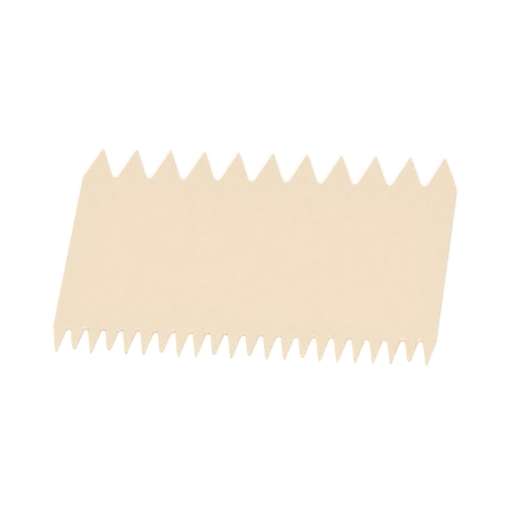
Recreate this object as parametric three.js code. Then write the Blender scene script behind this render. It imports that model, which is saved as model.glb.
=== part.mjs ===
// Cake comb: one flat plastic blade with coarse teeth along one long edge and fine teeth along the other.
// Millimetres, +Z up. The blade lies on its underside at z = 0, centred on the origin, coarse teeth towards +Y.
import * as THREE from "three";

// Blade
const BLADE_WIDTH = 108.8; // side to side, along X
const WEB_DEPTH = 53.7; // solid plate between the two lines of roots, along Y
const BLADE_THICKNESS = 1.5;
const SIDE_CORNER_RADIUS = 5; // where the outer flank of an end tooth turns into the side

// Coarse teeth
const COARSE_PITCH = 10;
const COARSE_HEIGHT = 10.3; // root to tip
const COARSE_TIP_RADIUS = 0.3;
const COARSE_ROOT_RADIUS = 1.1;

// Fine teeth
const FINE_PITCH = 5;
const FINE_HEIGHT = 8; // root to tip
const FINE_TIP_RADIUS = 0.2;
const FINE_ROOT_RADIUS = 0.8;

// Finish
const IVORY = 0xf2dec5;
const PLASTIC_ROUGHNESS = 0.5;
const ARC_POINTS = 4; // a rounding is drawn with twice as many chords

const TIP_LINE = (COARSE_HEIGHT + WEB_DEPTH + FINE_HEIGHT) / 2; // both rows end this far from the middle

// Angle between a flank and the centre line of its tooth: the flank is the line that touches both
// the round tip and the round root beside it.
function flankAngle(pitch, height, tipRadius, rootRadius) {
  const across = pitch / 2;
  const down = height - tipRadius - rootRadius;
  const lean = Math.asin((tipRadius + rootRadius) / Math.hypot(across, down));
  return Math.atan2(across, down) - lean;
}

// Draws one row of teeth and the corner at each end of it. A row that faces +Y runs from left to right,
// and a row that faces -Y is the same row turned half round. The shape joins the arcs with straight flanks.
function addRow(shape, facing, pitch, height, tipRadius, rootRadius) {
  const flank = flankAngle(pitch, height, tipRadius, rootRadius);
  const turn = facing > 0 ? 0 : Math.PI;
  const addArc = (x, y, radius, from, to, clockwise) =>
    shape.absarc(facing * x, facing * y, radius, from + turn, to + turn, clockwise);

  const count = Math.round(BLADE_WIDTH / pitch);
  const endTooth = ((count - 1) / 2) * pitch;
  const tipY = TIP_LINE - tipRadius;
  const rootY = TIP_LINE - height + rootRadius;

  // A corner arc touches the side and the line of the outer flank.
  const cornerX = BLADE_WIDTH / 2 - SIDE_CORNER_RADIUS;
  const inset = tipRadius - SIDE_CORNER_RADIUS - (cornerX - endTooth) * Math.cos(flank);
  const cornerY = tipY + inset / Math.sin(flank);

  addArc(-cornerX, cornerY, SIDE_CORNER_RADIUS, Math.PI, Math.PI - flank, true);
  for (let tooth = 0; tooth < count; tooth++) {
    const x = tooth * pitch - endTooth;
    addArc(x, tipY, tipRadius, Math.PI - flank, flank, true);
    if (tooth < count - 1) {
      addArc(x + pitch / 2, rootY, rootRadius, Math.PI + flank, 2 * Math.PI - flank, false);
    }
  }
  addArc(cornerX, cornerY, SIDE_CORNER_RADIUS, flank, 0, true);
}

const outline = new THREE.Shape();
addRow(outline, 1, COARSE_PITCH, COARSE_HEIGHT, COARSE_TIP_RADIUS, COARSE_ROOT_RADIUS);
addRow(outline, -1, FINE_PITCH, FINE_HEIGHT, FINE_TIP_RADIUS, FINE_ROOT_RADIUS);

const plastic = new THREE.MeshStandardMaterial({ color: IVORY, roughness: PLASTIC_ROUGHNESS, metalness: 0 });
const blade = new THREE.Mesh(
  new THREE.ExtrudeGeometry(outline, {
    depth: BLADE_THICKNESS,
    bevelEnabled: false,
    curveSegments: ARC_POINTS,
  }),
  plastic,
);
blade.name = "comb_blade";

const comb = new THREE.Group();
comb.add(blade);

export default comb;
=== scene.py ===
import math
from functools import partial

import bpy
from mathutils import Matrix, Vector


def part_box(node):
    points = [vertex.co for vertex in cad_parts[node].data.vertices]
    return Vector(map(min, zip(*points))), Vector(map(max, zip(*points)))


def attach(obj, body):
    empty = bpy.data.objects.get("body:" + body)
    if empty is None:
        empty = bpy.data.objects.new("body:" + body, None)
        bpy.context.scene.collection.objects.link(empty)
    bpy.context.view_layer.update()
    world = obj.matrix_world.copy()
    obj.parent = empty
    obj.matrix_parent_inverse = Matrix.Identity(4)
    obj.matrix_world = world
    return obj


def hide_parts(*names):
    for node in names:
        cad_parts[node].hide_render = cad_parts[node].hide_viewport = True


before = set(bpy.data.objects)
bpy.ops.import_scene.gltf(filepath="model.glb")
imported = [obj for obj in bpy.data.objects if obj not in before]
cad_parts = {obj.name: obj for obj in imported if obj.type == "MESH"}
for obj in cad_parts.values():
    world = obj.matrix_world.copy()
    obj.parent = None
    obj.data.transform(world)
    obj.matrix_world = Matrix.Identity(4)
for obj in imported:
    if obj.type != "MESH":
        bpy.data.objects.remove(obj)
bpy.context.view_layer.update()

MM = 0.001

# Blade
blade_low, blade_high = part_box("comb_blade")
BLADE_WIDTH, TIP_TO_TIP, THICKNESS = blade_high - blade_low
TIP_LINE = TIP_TO_TIP / 2  # both rows of tips end this far from the middle
SIDE = BLADE_WIDTH / 2
SIDE_CORNER_RADIUS = 5 * MM
EDGE_RADIUS = 0.15 * MM  # rounding of the moulded edges
EDGE_LIP = 0.02 * MM  # flat margin inside that rounding, which keeps the faces' shading flat
ARC_STEPS = 10  # points on a tip, root or corner
EDGE_STEPS = 4  # points on the rounding of an edge
WELD = 0.001 * MM  # points closer than this are one point
WEAR_SEED = 308864  # with this seed the blunt fine tips fall where the photograph shows them


class ToothRow:
    """One row of pointed teeth: its own sizes, and the sharp corners that its roundings are cut from."""

    def __init__(self, pitch, height, tip_radius, root_radius, worn_radius, worn_share):
        self.pitch = pitch
        self.count = round(BLADE_WIDTH / pitch)
        self.tip_radius = tip_radius
        self.root_radius = root_radius
        self.worn_radius = worn_radius
        self.worn_share = worn_share

        # A flank touches both the round tip and the round root beside it.
        across = pitch / 2
        down = height - tip_radius - root_radius
        lean = math.asin((tip_radius + root_radius) / math.hypot(across, down))
        self.flank = math.atan2(across, down) - lean
        overshoot = 1 / math.sin(self.flank) - 1
        self.sharp_tip = TIP_LINE + tip_radius * overshoot
        self.sharp_root = TIP_LINE - height - root_radius * overshoot
        self.root_centre = TIP_LINE - height + root_radius

    def sizes(self):
        """What the row's tree needs, by the name of its input."""
        return {
            "Pitch": self.pitch,
            "Count": self.count,
            "Sharp tip": self.sharp_tip,
            "Sharp root": self.sharp_root,
            "Tip radius": self.tip_radius,
            "Root radius": self.root_radius,
            "Worn radius": self.worn_radius,
            "Worn share": self.worn_share,
        }


COARSE = ToothRow(10 * MM, 10.3 * MM, 0.3 * MM, 1.1 * MM, worn_radius=0.3 * MM, worn_share=0.0)
FINE = ToothRow(5 * MM, 8 * MM, 0.2 * MM, 0.8 * MM, worn_radius=0.5 * MM, worn_share=0.32)

# Finish of the plastic
MIDDLE_IVORY = "#F2DEC6"
MARGIN_IVORY = "#EEDEC5"
CLOUD_IVORY = "#ECD8BC"
# paler tone of the walls: partly wear, partly painted light that lifts the walls' shade
WEAR_AND_PAINTED_LIGHT_IVORY = "#F8EBD9"
MARGIN_WIDTH = 7 * MM  # from the edge to the middle of the change between the margin's tone and the blade's
MARGIN_FADE = 6 * MM  # half the width of that change
MARGIN_STRAY = 6 * MM  # how far the change wanders in and out
STRAY_SIZE = 22 * MM  # length of one such wander
CLOUD_SIZE = 2.5 * MM
CLOUD_START = 0.4  # value of the noise at which a cloud begins
CLOUD_SHARE = 0.35  # of the cloud's tone where it is thickest
WEAR_AND_LIGHT_WIDTH = 0.02 * MM  # how far the walls' paler tone, partly wear and partly painted light, reaches in over the rim
WEAR_AND_LIGHT_FADE = 0.04 * MM  # half the width of its soft end
WEAR_AND_LIGHT_STRAY = 0.06 * MM  # how far that end wanders in and out
WEAR_AND_LIGHT_PATCH = 1.6 * MM  # length of one such wander
PEBBLE_SIZE = 0.5 * MM
PEBBLE_DEPTH = 0.1 * MM
SCUFF_WIDTH = 0.6 * MM
SCUFF_LENGTH = 15 * MM
SCUFF_TURN = math.radians(18)
SATIN_ROUGHNESS = 0.36
SCUFF_ROUGHNESS = 0.46
RUB_SMOOTHING = 0.1
PLASTIC_IOR = 1.49
GLOW_SHARE = 0.3  # of the light that enters the plastic and comes out again near by
GLOW_REACH = (1.0, 0.8, 0.6)  # millimetres that red, green and blue light travel inside the plastic
NOISE_LOW, NOISE_HIGH = 0.3, 0.7  # nearly all values of a noise lie between these

# Camera, at the photograph's angle
CAMERA_AZIMUTH = 16.78
CAMERA_ELEVATION = 51.85
CAMERA_ROLL = 11.46
CAMERA_DISTANCE = 1293 * MM
CAMERA_LENS = 320.9  # millimetres, on Blender's 36 mm sensor
CAMERA_AIM = Vector((-0.14, -0.48, 0.75)) * MM

# Light levels: the brightness that each source gives a white upper face, together about 1
ROOM_LEVEL = 0.56
FRONT_LEVEL = 0.12
TOP_LEVEL = 0.28
BACK_LEVEL = 0.06

# Room and floor
WHITE = "#FFFFFF"
PAPER_WHITE = "#F6F6F6"
FLOOR_REACH = 3.0
FLOOR_GAP = 0.02 * MM  # below the comb, so that the two faces don't share a plane
FLOOR_GLOW = 1.2
FLOOR_GLOW_SHARE = 0.3  # the rest of the floor's brightness falls on it, and takes the shadow

# Kinds of node that are used all over, and the inputs of a Mix node, which share their names
MATH = "ShaderNodeMath"
NOISE = "ShaderNodeTexNoise"
RANGE = "ShaderNodeMapRange"
MIX = "ShaderNodeMix"
POINT = "ShaderNodeCombineXYZ"
SHARE, NUMBER_A, NUMBER_B, COLOUR_A, COLOUR_B = 0, 2, 3, 6, 7


def linear(hex_colour):
    """An sRGB hex colour as linear red, green, blue and alpha."""
    channels = [int(hex_colour[i : i + 2], 16) / 255 for i in (1, 3, 5)]
    return (*(c / 12.92 if c <= 0.04045 else ((c + 0.055) / 1.055) ** 2.4 for c in channels), 1.0)


def add_node(tree, kind, inputs, **settings):
    """Adds a node with its settings. An input takes a value, a node or socket to link, or a list of them."""
    node = tree.nodes.new(kind)
    for name, value in settings.items():
        setattr(node, name, value)
    for key, value in inputs.items():
        for source in value if isinstance(value, list) else [value]:
            if isinstance(source, bpy.types.Node):
                source = next(output for output in source.outputs if output.enabled)
            if isinstance(source, bpy.types.NodeSocket):
                tree.links.new(source, node.inputs[key])
            else:
                node.inputs[key].default_value = source
    return node


def emptied_tree(owner):
    """The node tree of a material or world, with nothing in it."""
    owner.use_nodes = True
    owner.node_tree.nodes.clear()
    return owner.node_tree


def new_object(name, data):
    """An object in the scene for a mesh, lamp or camera."""
    thing = bpy.data.objects.new(name, data)
    bpy.context.scene.collection.objects.link(thing)
    return thing


# Shape


def new_tree(name, inputs):
    """An empty geometry tree with one input for each named value, of that value's kind."""
    kinds = {int: "NodeSocketInt", float: "NodeSocketFloat", bpy.types.Material: "NodeSocketMaterial"}
    tree = bpy.data.node_groups.new(name, "GeometryNodeTree")
    tree.interface.new_socket("Geometry", in_out="OUTPUT", socket_type="NodeSocketGeometry")
    for socket, value in inputs.items():
        tree.interface.new_socket(socket, in_out="INPUT", socket_type=kinds[type(value)])
    return tree


def tooth_row_tree():
    """A row that faces +Y, from right to left, as sharp corner points that carry their own rounding."""
    shared = {"Side": SIDE, "Corner radius": SIDE_CORNER_RADIUS, "Seed": WEAR_SEED}
    tree = new_tree("tooth_row", {**COARSE.sizes(), **shared})
    add = partial(add_node, tree)
    given = add("NodeGroupInput", {}).outputs
    index = add("GeometryNodeInputIndex", {})

    # Roots and tips take turns, half a pitch apart. The row starts and ends in a root.
    is_tip = add(MATH, {0: index, 1: 2}, operation="MODULO")
    steps = add(MATH, {0: given["Count"], 1: index}, operation="SUBTRACT")
    half_pitch = add(MATH, {0: given["Pitch"], 1: 2}, operation="DIVIDE")
    free_x = add(MATH, {0: steps, 1: half_pitch}, operation="MULTIPLY")
    rise = add(MATH, {0: given["Sharp tip"], 1: given["Sharp root"]}, operation="SUBTRACT")
    free_y = add(MATH, {0: is_tip, 1: rise, 2: given["Sharp root"]}, operation="MULTIPLY_ADD")

    # The blade's side cuts the outer flanks of the end teeth, so the two end roots move up the flanks to it.
    other_side = add(MATH, {0: given["Side"], 1: -1}, operation="MULTIPLY")
    x = add("ShaderNodeClamp", {"Value": free_x, "Min": other_side, "Max": given["Side"]})
    cut = add(MATH, {0: free_x, 1: x}, operation="SUBTRACT")
    cut_length = add(MATH, {0: cut}, operation="ABSOLUTE")
    slope = add(MATH, {0: rise, 1: half_pitch}, operation="DIVIDE")
    y = add(MATH, {0: cut_length, 1: slope, 2: free_y}, operation="MULTIPLY_ADD")
    place = add(POINT, {"X": x, "Y": y})

    # A worn tip is a blunter rounding of the same sharp corner, which also makes the tooth shorter.
    chance = add("FunctionNodeRandomValue", {"ID": index, "Seed": given["Seed"]})
    is_worn = add(MATH, {0: chance, 1: given["Worn share"]}, operation="LESS_THAN")
    tip = add(MIX, {SHARE: is_worn, NUMBER_A: given["Tip radius"], NUMBER_B: given["Worn radius"]})
    tip_or_root = add(MIX, {SHARE: is_tip, NUMBER_A: given["Root radius"], NUMBER_B: tip})
    at_side = add(MATH, {0: cut_length, 1: WELD}, operation="GREATER_THAN")
    rounding = add(MIX, {SHARE: at_side, NUMBER_A: tip_or_root, NUMBER_B: given["Corner radius"]})

    corner_count = add(MATH, {0: given["Count"], 1: 2, 2: 1}, operation="MULTIPLY_ADD")
    corners = add("GeometryNodePoints", {"Count": corner_count, "Position": place})
    marks = {"Geometry": corners, "Name": "rounding", "Value": rounding}
    marked = add("GeometryNodeStoreNamedAttribute", marks)
    add("NodeGroupOutput", {0: marked})
    return tree


def comb_tree(sizes):
    """The whole comb: an outline of both rows, a rim with rounded edges swept round it, and two faces."""
    tree = new_tree("moulded_comb", sizes)
    add = partial(add_node, tree)
    given = add("NodeGroupInput", {}).outputs

    # Outline: the fine row is turned half round, so that both rows run the same way round the blade.
    side = add(MATH, {0: given["Blade width"], 1: 2}, operation="DIVIDE")
    shared = {"Side": side, "Corner radius": given["Corner radius"], "Seed": given["Wear seed"]}
    row_tree = tooth_row_tree()
    rows = []
    for name, turn in (("Coarse", 0), ("Fine", math.pi)):
        own = {key: given[f"{name} {key.lower()}"] for key in COARSE.sizes()}
        row = add("GeometryNodeGroup", {**own, **shared}, node_tree=row_tree)
        rows.append(add("GeometryNodeTransform", {"Geometry": row, "Rotation": (0, 0, turn)}))
    corners = add("GeometryNodeJoinGeometry", {"Geometry": rows})
    index = add("GeometryNodeInputIndex", {})
    loop = add("GeometryNodePointsToCurves", {"Points": corners, "Weight": index})
    sharp = add("GeometryNodeSetSplineCyclic", {"Geometry": loop, "Cyclic": True})
    rounding = add("GeometryNodeInputNamedAttribute", {"Name": "rounding"})
    arcs = {"Count": ARC_STEPS, "Radius": rounding, "Limit Radius": True}
    rounded = add("GeometryNodeFilletCurve", {"Curve": sharp, **arcs}, mode="POLY")
    outline = add("GeometryNodeSetCurveNormal", {"Curve": rounded}, mode="Z_UP")

    # Rim: a section of the wall with its two edges rounded. Its X points out of the blade and its Y down.
    inset = add(MATH, {0: given["Edge radius"], 1: given["Edge lip"]}, operation="ADD")
    inward = add(MATH, {0: inset, 1: -1}, operation="MULTIPLY")
    top = add(MATH, {0: given["Thickness"], 1: -1}, operation="MULTIPLY")
    section_corners = {
        "Point 1": add(POINT, {"X": inward, "Y": top}),
        "Point 2": add(POINT, {"Y": top}),
        "Point 3": (0, 0, 0),
        "Point 4": add(POINT, {"X": inward}),
    }
    section = add("GeometryNodeCurvePrimitiveQuadrilateral", section_corners, mode="POINTS")
    open_section = add("GeometryNodeSetSplineCyclic", {"Geometry": section, "Cyclic": False})
    edge_arcs = {"Count": EDGE_STEPS, "Radius": given["Edge radius"], "Limit Radius": True}
    wall = add("GeometryNodeFilletCurve", {"Curve": open_section, **edge_arcs}, mode="POLY")
    swept = add("GeometryNodeCurveToMesh", {"Curve": outline, "Profile Curve": wall})
    rim = add("GeometryNodeSetShadeSmooth", {"Geometry": swept, "Shade Smooth": True})

    # Faces: the outline drawn in to the rim's inner edge, filled, and put at the top and the bottom.
    normal = add("GeometryNodeInputNormal", {})
    shift = add("ShaderNodeVectorMath", {0: normal, "Scale": inward}, operation="SCALE")
    drawn_in = add("GeometryNodeSetPosition", {"Geometry": outline, "Offset": shift})
    filled = add("GeometryNodeFillCurve", {"Curve": drawn_in}, mode="TRIANGLES")
    face = add("GeometryNodeSetShadeSmooth", {"Geometry": filled, "Shade Smooth": False})
    lift = add(POINT, {"Z": given["Thickness"]})
    upper = add("GeometryNodeTransform", {"Geometry": face, "Translation": lift})
    under = add("GeometryNodeFlipFaces", {"Mesh": face})

    shell = add("GeometryNodeJoinGeometry", {"Geometry": [rim, upper, under]})
    closed = add("GeometryNodeMergeByDistance", {"Geometry": shell, "Distance": WELD})
    plain = add("GeometryNodeRealizeInstances", {"Geometry": closed})
    finished = add("GeometryNodeSetMaterial", {"Geometry": plain, "Material": given["Material"]})
    add("NodeGroupOutput", {0: finished})
    return tree


def moulded_comb(material):
    """The comb as one plain closed mesh."""
    sizes = {
        "Blade width": BLADE_WIDTH,
        "Thickness": THICKNESS,
        "Corner radius": SIDE_CORNER_RADIUS,
        "Edge radius": EDGE_RADIUS,
        "Edge lip": EDGE_LIP,
        "Wear seed": WEAR_SEED,
        "Material": material,
    }
    for name, row in (("Coarse", COARSE), ("Fine", FINE)):
        sizes.update({f"{name} {key.lower()}": value for key, value in row.sizes().items()})
    tree = comb_tree(sizes)

    blank = new_object("blank", bpy.data.meshes.new("blank"))
    modifier = blank.modifiers.new("moulded_comb", "NODES")
    modifier.node_group = tree
    for item in tree.interface.items_tree:
        if item.in_out == "INPUT":
            modifier[item.identifier] = sizes[item.name]
    depsgraph = bpy.context.evaluated_depsgraph_get()
    mesh = bpy.data.meshes.new_from_object(blank.evaluated_get(depsgraph), depsgraph=depsgraph)
    bpy.data.objects.remove(blank)

    mesh.name = "comb"
    return new_object("comb", mesh)


# Finish


def edge_distance(tree, place):
    """Adds nodes that give how far a point of the blade lies from the nearest side, flank or root."""
    add = partial(add_node, tree)
    axes = add("ShaderNodeSeparateXYZ", {"Vector": place}).outputs
    from_middle = add(MATH, {0: axes["X"]}, operation="ABSOLUTE")
    nearest = add(MATH, {0: SIDE, 1: from_middle}, operation="SUBTRACT")
    for row, facing in ((COARSE, 1), (FINE, -1)):
        cosine, sine = math.cos(row.flank), math.sin(row.flank)
        along = add(MATH, {0: axes["X"], 1: row.count / 2 * row.pitch}, operation="ADD")
        beside = add(MATH, {0: along, 1: row.pitch / 2}, operation="PINGPONG")
        below = add(MATH, {0: axes["Y"], 1: -facing, 2: row.root_centre}, operation="MULTIPLY_ADD")

        # Seen from the middle of the nearest root: straight away from its flank, and along that flank.
        below_out = add(MATH, {0: below, 1: sine}, operation="MULTIPLY")
        out = add(MATH, {0: beside, 1: cosine, 2: below_out}, operation="MULTIPLY_ADD")
        below_along = add(MATH, {0: below, 1: cosine}, operation="MULTIPLY")
        past = add(MATH, {0: beside, 1: -sine, 2: below_along}, operation="MULTIPLY_ADD")
        past_flank = add(MATH, {0: past, 1: 0}, operation="MAXIMUM")
        reach = add(POINT, {"X": out, "Y": past_flank})
        from_root = add("ShaderNodeVectorMath", {0: reach}, operation="LENGTH")
        depth = add(MATH, {0: from_root, 1: row.root_radius}, operation="SUBTRACT")
        nearest = add(MATH, {0: nearest, 1: depth}, operation="MINIMUM")
    return nearest


def moulded_ivory():
    """Injection-moulded ivory polypropylene: a warm satin face, a little cooler along the margins."""
    material = bpy.data.materials.new("moulded_ivory_polypropylene")
    tree = emptied_tree(material)
    add = partial(add_node, tree)
    place = add("ShaderNodeTexCoord", {}).outputs["Object"]
    edge = edge_distance(tree, place)

    # Body colour: warm in the middle and cooler along the margins, so the flat face isn't one even tone.
    wander = add(NOISE, {"Vector": place, "Scale": 1 / STRAY_SIZE})
    stray = add(RANGE, {"Value": wander, "To Min": -MARGIN_STRAY, "To Max": MARGIN_STRAY})
    depth = add(MATH, {0: edge, 1: stray}, operation="ADD")
    fade = {"From Min": MARGIN_WIDTH - MARGIN_FADE, "From Max": MARGIN_WIDTH + MARGIN_FADE}
    inner = add(RANGE, {"Value": depth, **fade}, interpolation_type="SMOOTHSTEP")
    tones = {COLOUR_A: linear(MARGIN_IVORY), COLOUR_B: linear(MIDDLE_IVORY)}
    body = add(MIX, {SHARE: inner, **tones}, data_type="RGBA")

    # Clouds: soft darker patches where the pigment is mixed less evenly.
    clouds = add(NOISE, {"Vector": place, "Scale": 1 / CLOUD_SIZE, "Detail": 3})
    levels = {"From Min": CLOUD_START, "From Max": NOISE_HIGH, "To Max": CLOUD_SHARE}
    cloudy = add(RANGE, {"Value": clouds, **levels})
    tones = {COLOUR_A: body, COLOUR_B: linear(CLOUD_IVORY)}
    pigment = add(MIX, {SHARE: cloudy, **tones}, data_type="RGBA")

    # Rubbed edges: the walls are paler and smoother, in patches that end on the rim. The smoothness is wear.
    # The paler tone is partly wear and partly painted light that lifts the shade on the walls.
    patches = add(NOISE, {"Vector": place, "Scale": 1 / WEAR_AND_LIGHT_PATCH})
    reach = {"To Min": WEAR_AND_LIGHT_WIDTH - WEAR_AND_LIGHT_STRAY, "To Max": WEAR_AND_LIGHT_WIDTH + WEAR_AND_LIGHT_STRAY}
    wear_and_light_reach = add(RANGE, {"Value": patches, **reach})
    wear_and_light_depth = add(MATH, {0: edge, 1: wear_and_light_reach}, operation="SUBTRACT")
    fade = {"From Min": WEAR_AND_LIGHT_FADE, "From Max": -WEAR_AND_LIGHT_FADE}
    wear_and_painted_light = add(RANGE, {"Value": wear_and_light_depth, **fade}, interpolation_type="SMOOTHSTEP")
    tones = {COLOUR_A: pigment, COLOUR_B: linear(WEAR_AND_PAINTED_LIGHT_IVORY)}
    colour = add(MIX, {SHARE: wear_and_painted_light, **tones}, data_type="RGBA")

    # Gloss: satin, duller in long scuffs from scraping and smoother on the rubbed edges. Real scuffs are
    # about 0.05 mm wide, and these are drawn 0.6 mm wide because a hairline is too fine to show.
    stretch = {"Rotation": (0, 0, SCUFF_TURN), "Scale": (SCUFF_LENGTH / SCUFF_WIDTH, 1, 1)}
    stroke = add("ShaderNodeMapping", {"Vector": place, **stretch}, vector_type="TEXTURE")
    scuffs = add(NOISE, {"Vector": stroke, "Scale": 1 / SCUFF_WIDTH, "Detail": 1})
    values = {"From Min": NOISE_LOW, "From Max": NOISE_HIGH}
    levels = {"To Min": SATIN_ROUGHNESS, "To Max": SCUFF_ROUGHNESS}
    satin = add(RANGE, {"Value": scuffs, **values, **levels})
    roughness = add(MATH, {0: wear_and_painted_light, 1: -RUB_SMOOTHING, 2: satin}, operation="MULTIPLY_ADD")

    # Pebble: the mould's fine grain, which breaks up reflections. The real one is about 0.1 mm across, and
    # it is drawn 0.5 mm across because that is too fine to show.
    pebble = add(NOISE, {"Vector": place, "Scale": 1 / PEBBLE_SIZE})
    grain = add("ShaderNodeBump", {"Height": pebble, "Distance": PEBBLE_DEPTH})

    plastic = {
        "Base Color": colour,
        "Roughness": roughness,
        "IOR": PLASTIC_IOR,
        "Normal": grain,
        "Subsurface Weight": GLOW_SHARE,
        "Subsurface Radius": GLOW_REACH,
        "Subsurface Scale": 1 * MM,
    }
    shader = add("ShaderNodeBsdfPrincipled", plastic)
    add("ShaderNodeOutputMaterial", {"Surface": shader})
    return material


# Studio


def seen_rays(tree):
    """Adds nodes that give 1 for rays that show the background: straight, reflected or let through."""
    add = partial(add_node, tree)
    rays = add("ShaderNodeLightPath", {}).outputs
    direct = add(MATH, {0: rays["Is Camera Ray"], 1: rays["Is Glossy Ray"]}, operation="MAXIMUM")
    return add(MATH, {0: direct, 1: rays["Is Transmission Ray"]}, operation="MAXIMUM")


def studio_world():
    """A white room: it shows as white and lights the comb evenly from all round."""
    world = bpy.data.worlds.new("white_room")
    tree = emptied_tree(world)
    add = partial(add_node, tree)
    strength = add(RANGE, {"Value": seen_rays(tree), "To Min": ROOM_LEVEL, "To Max": 1})
    light = add("ShaderNodeBackground", {"Color": linear(WHITE), "Strength": strength})
    add("ShaderNodeOutputWorld", {"Surface": light})
    bpy.context.scene.world = world


def studio_floor():
    """A pale paper floor that shows as white where it is fully lit and keeps a soft shadow of the comb."""
    material = bpy.data.materials.new("white_paper")
    tree = emptied_tree(material)
    add = partial(add_node, tree)
    paper = add("ShaderNodeBsdfDiffuse", {"Color": linear(PAPER_WHITE)})
    glow = add("ShaderNodeEmission", {"Color": linear(WHITE), "Strength": FLOOR_GLOW})
    share = add(MATH, {0: seen_rays(tree), 1: FLOOR_GLOW_SHARE}, operation="MULTIPLY")
    surface = add("ShaderNodeMixShader", {0: share, 1: paper, 2: glow})
    add("ShaderNodeOutputMaterial", {"Surface": surface})

    quarters = ((-1, -1), (1, -1), (1, 1), (-1, 1))
    corners = [(x * FLOOR_REACH, y * FLOOR_REACH, -FLOOR_GAP) for x, y in quarters]
    mesh = bpy.data.meshes.new("floor")
    mesh.from_pydata(corners, [], [(0, 1, 2, 3)])
    mesh.materials.append(material)
    new_object("floor", mesh)


def aim(thing, target, azimuth, elevation, distance, roll):
    """Stands a lamp or camera off from a target, facing it. Azimuth 0 is in front of the fine teeth."""
    turn, tilt = math.radians(azimuth), math.radians(elevation)
    flat = math.cos(tilt)
    back = Vector((math.sin(turn) * flat, -math.cos(turn) * flat, math.sin(tilt)))
    upright = (-back).to_track_quat("-Z", "Y").to_matrix().to_4x4()
    rolled = Matrix.Rotation(math.radians(-roll), 4, "Z")
    thing.matrix_world = Matrix.Translation(target + back * distance) @ upright @ rolled


def softbox(name, azimuth, elevation, distance, size, level):
    """A square lamp aimed at the comb. level is the brightness that it gives a white upper face."""
    data = bpy.data.lights.new(name, "AREA")
    data.size = size
    spread = distance**2 + size**2 / math.pi  # allows for the lamp's own width
    data.energy = level * math.pi**2 * spread / math.sin(math.radians(elevation))
    lamp = new_object(name, data)
    lamp.visible_glossy = False  # reflections show the white room alone, so that pale faces don't clip
    aim(lamp, Vector(), azimuth, elevation, distance, roll=0)


def photo_camera():
    """A long lens above the fine teeth, to their right, turned a little about its own axis."""
    data = bpy.data.cameras.new("camera")
    data.lens = CAMERA_LENS
    camera = new_object("camera", data)
    aim(camera, CAMERA_AIM, CAMERA_AZIMUTH, CAMERA_ELEVATION, CAMERA_DISTANCE, CAMERA_ROLL)
    bpy.context.scene.camera = camera


photo_camera()
studio_world()
studio_floor()
softbox("front_softbox", azimuth=20, elevation=30, distance=0.8, size=0.6, level=FRONT_LEVEL)
softbox("top_softbox", azimuth=-20, elevation=80, distance=1.4, size=1.0, level=TOP_LEVEL)
softbox("back_softbox", azimuth=205, elevation=35, distance=1.0, size=0.6, level=BACK_LEVEL)
bpy.context.scene.view_settings.view_transform = "Standard"

comb = moulded_comb(moulded_ivory())
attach(comb, "root")
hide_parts("comb_blade")
